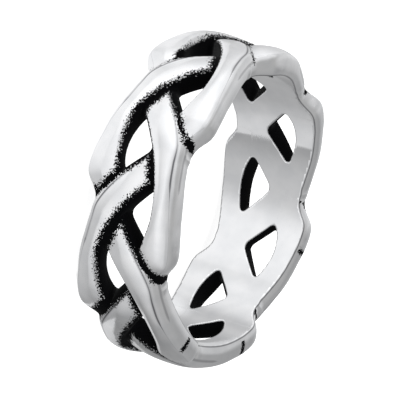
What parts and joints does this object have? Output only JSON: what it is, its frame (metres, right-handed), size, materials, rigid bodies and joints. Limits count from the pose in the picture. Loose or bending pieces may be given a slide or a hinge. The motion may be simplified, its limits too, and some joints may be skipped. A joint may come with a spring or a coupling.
{
  "type": "braided band ring",
  "caption": "Finger ring cast in one piece as a flat plait of one polished strand, with blackened recesses and rows of open windows between the crossings.",
  "frame": {"origin": "on the axis of the finger bore, in the middle of the band's width", "axes": "+Z along the finger bore; the ring lies on its lower rim, and +X goes through a place where the strand rises across the middle of the band"},
  "size_m": [0.0236, 0.0234, 0.0076],
  "materials": {
    "oxidised_silver": "polished strands with matte black recesses"
  },
  "bodies": {
    "root": {"braided_band": "oxidised_silver"}
  },
  "joints": []
}
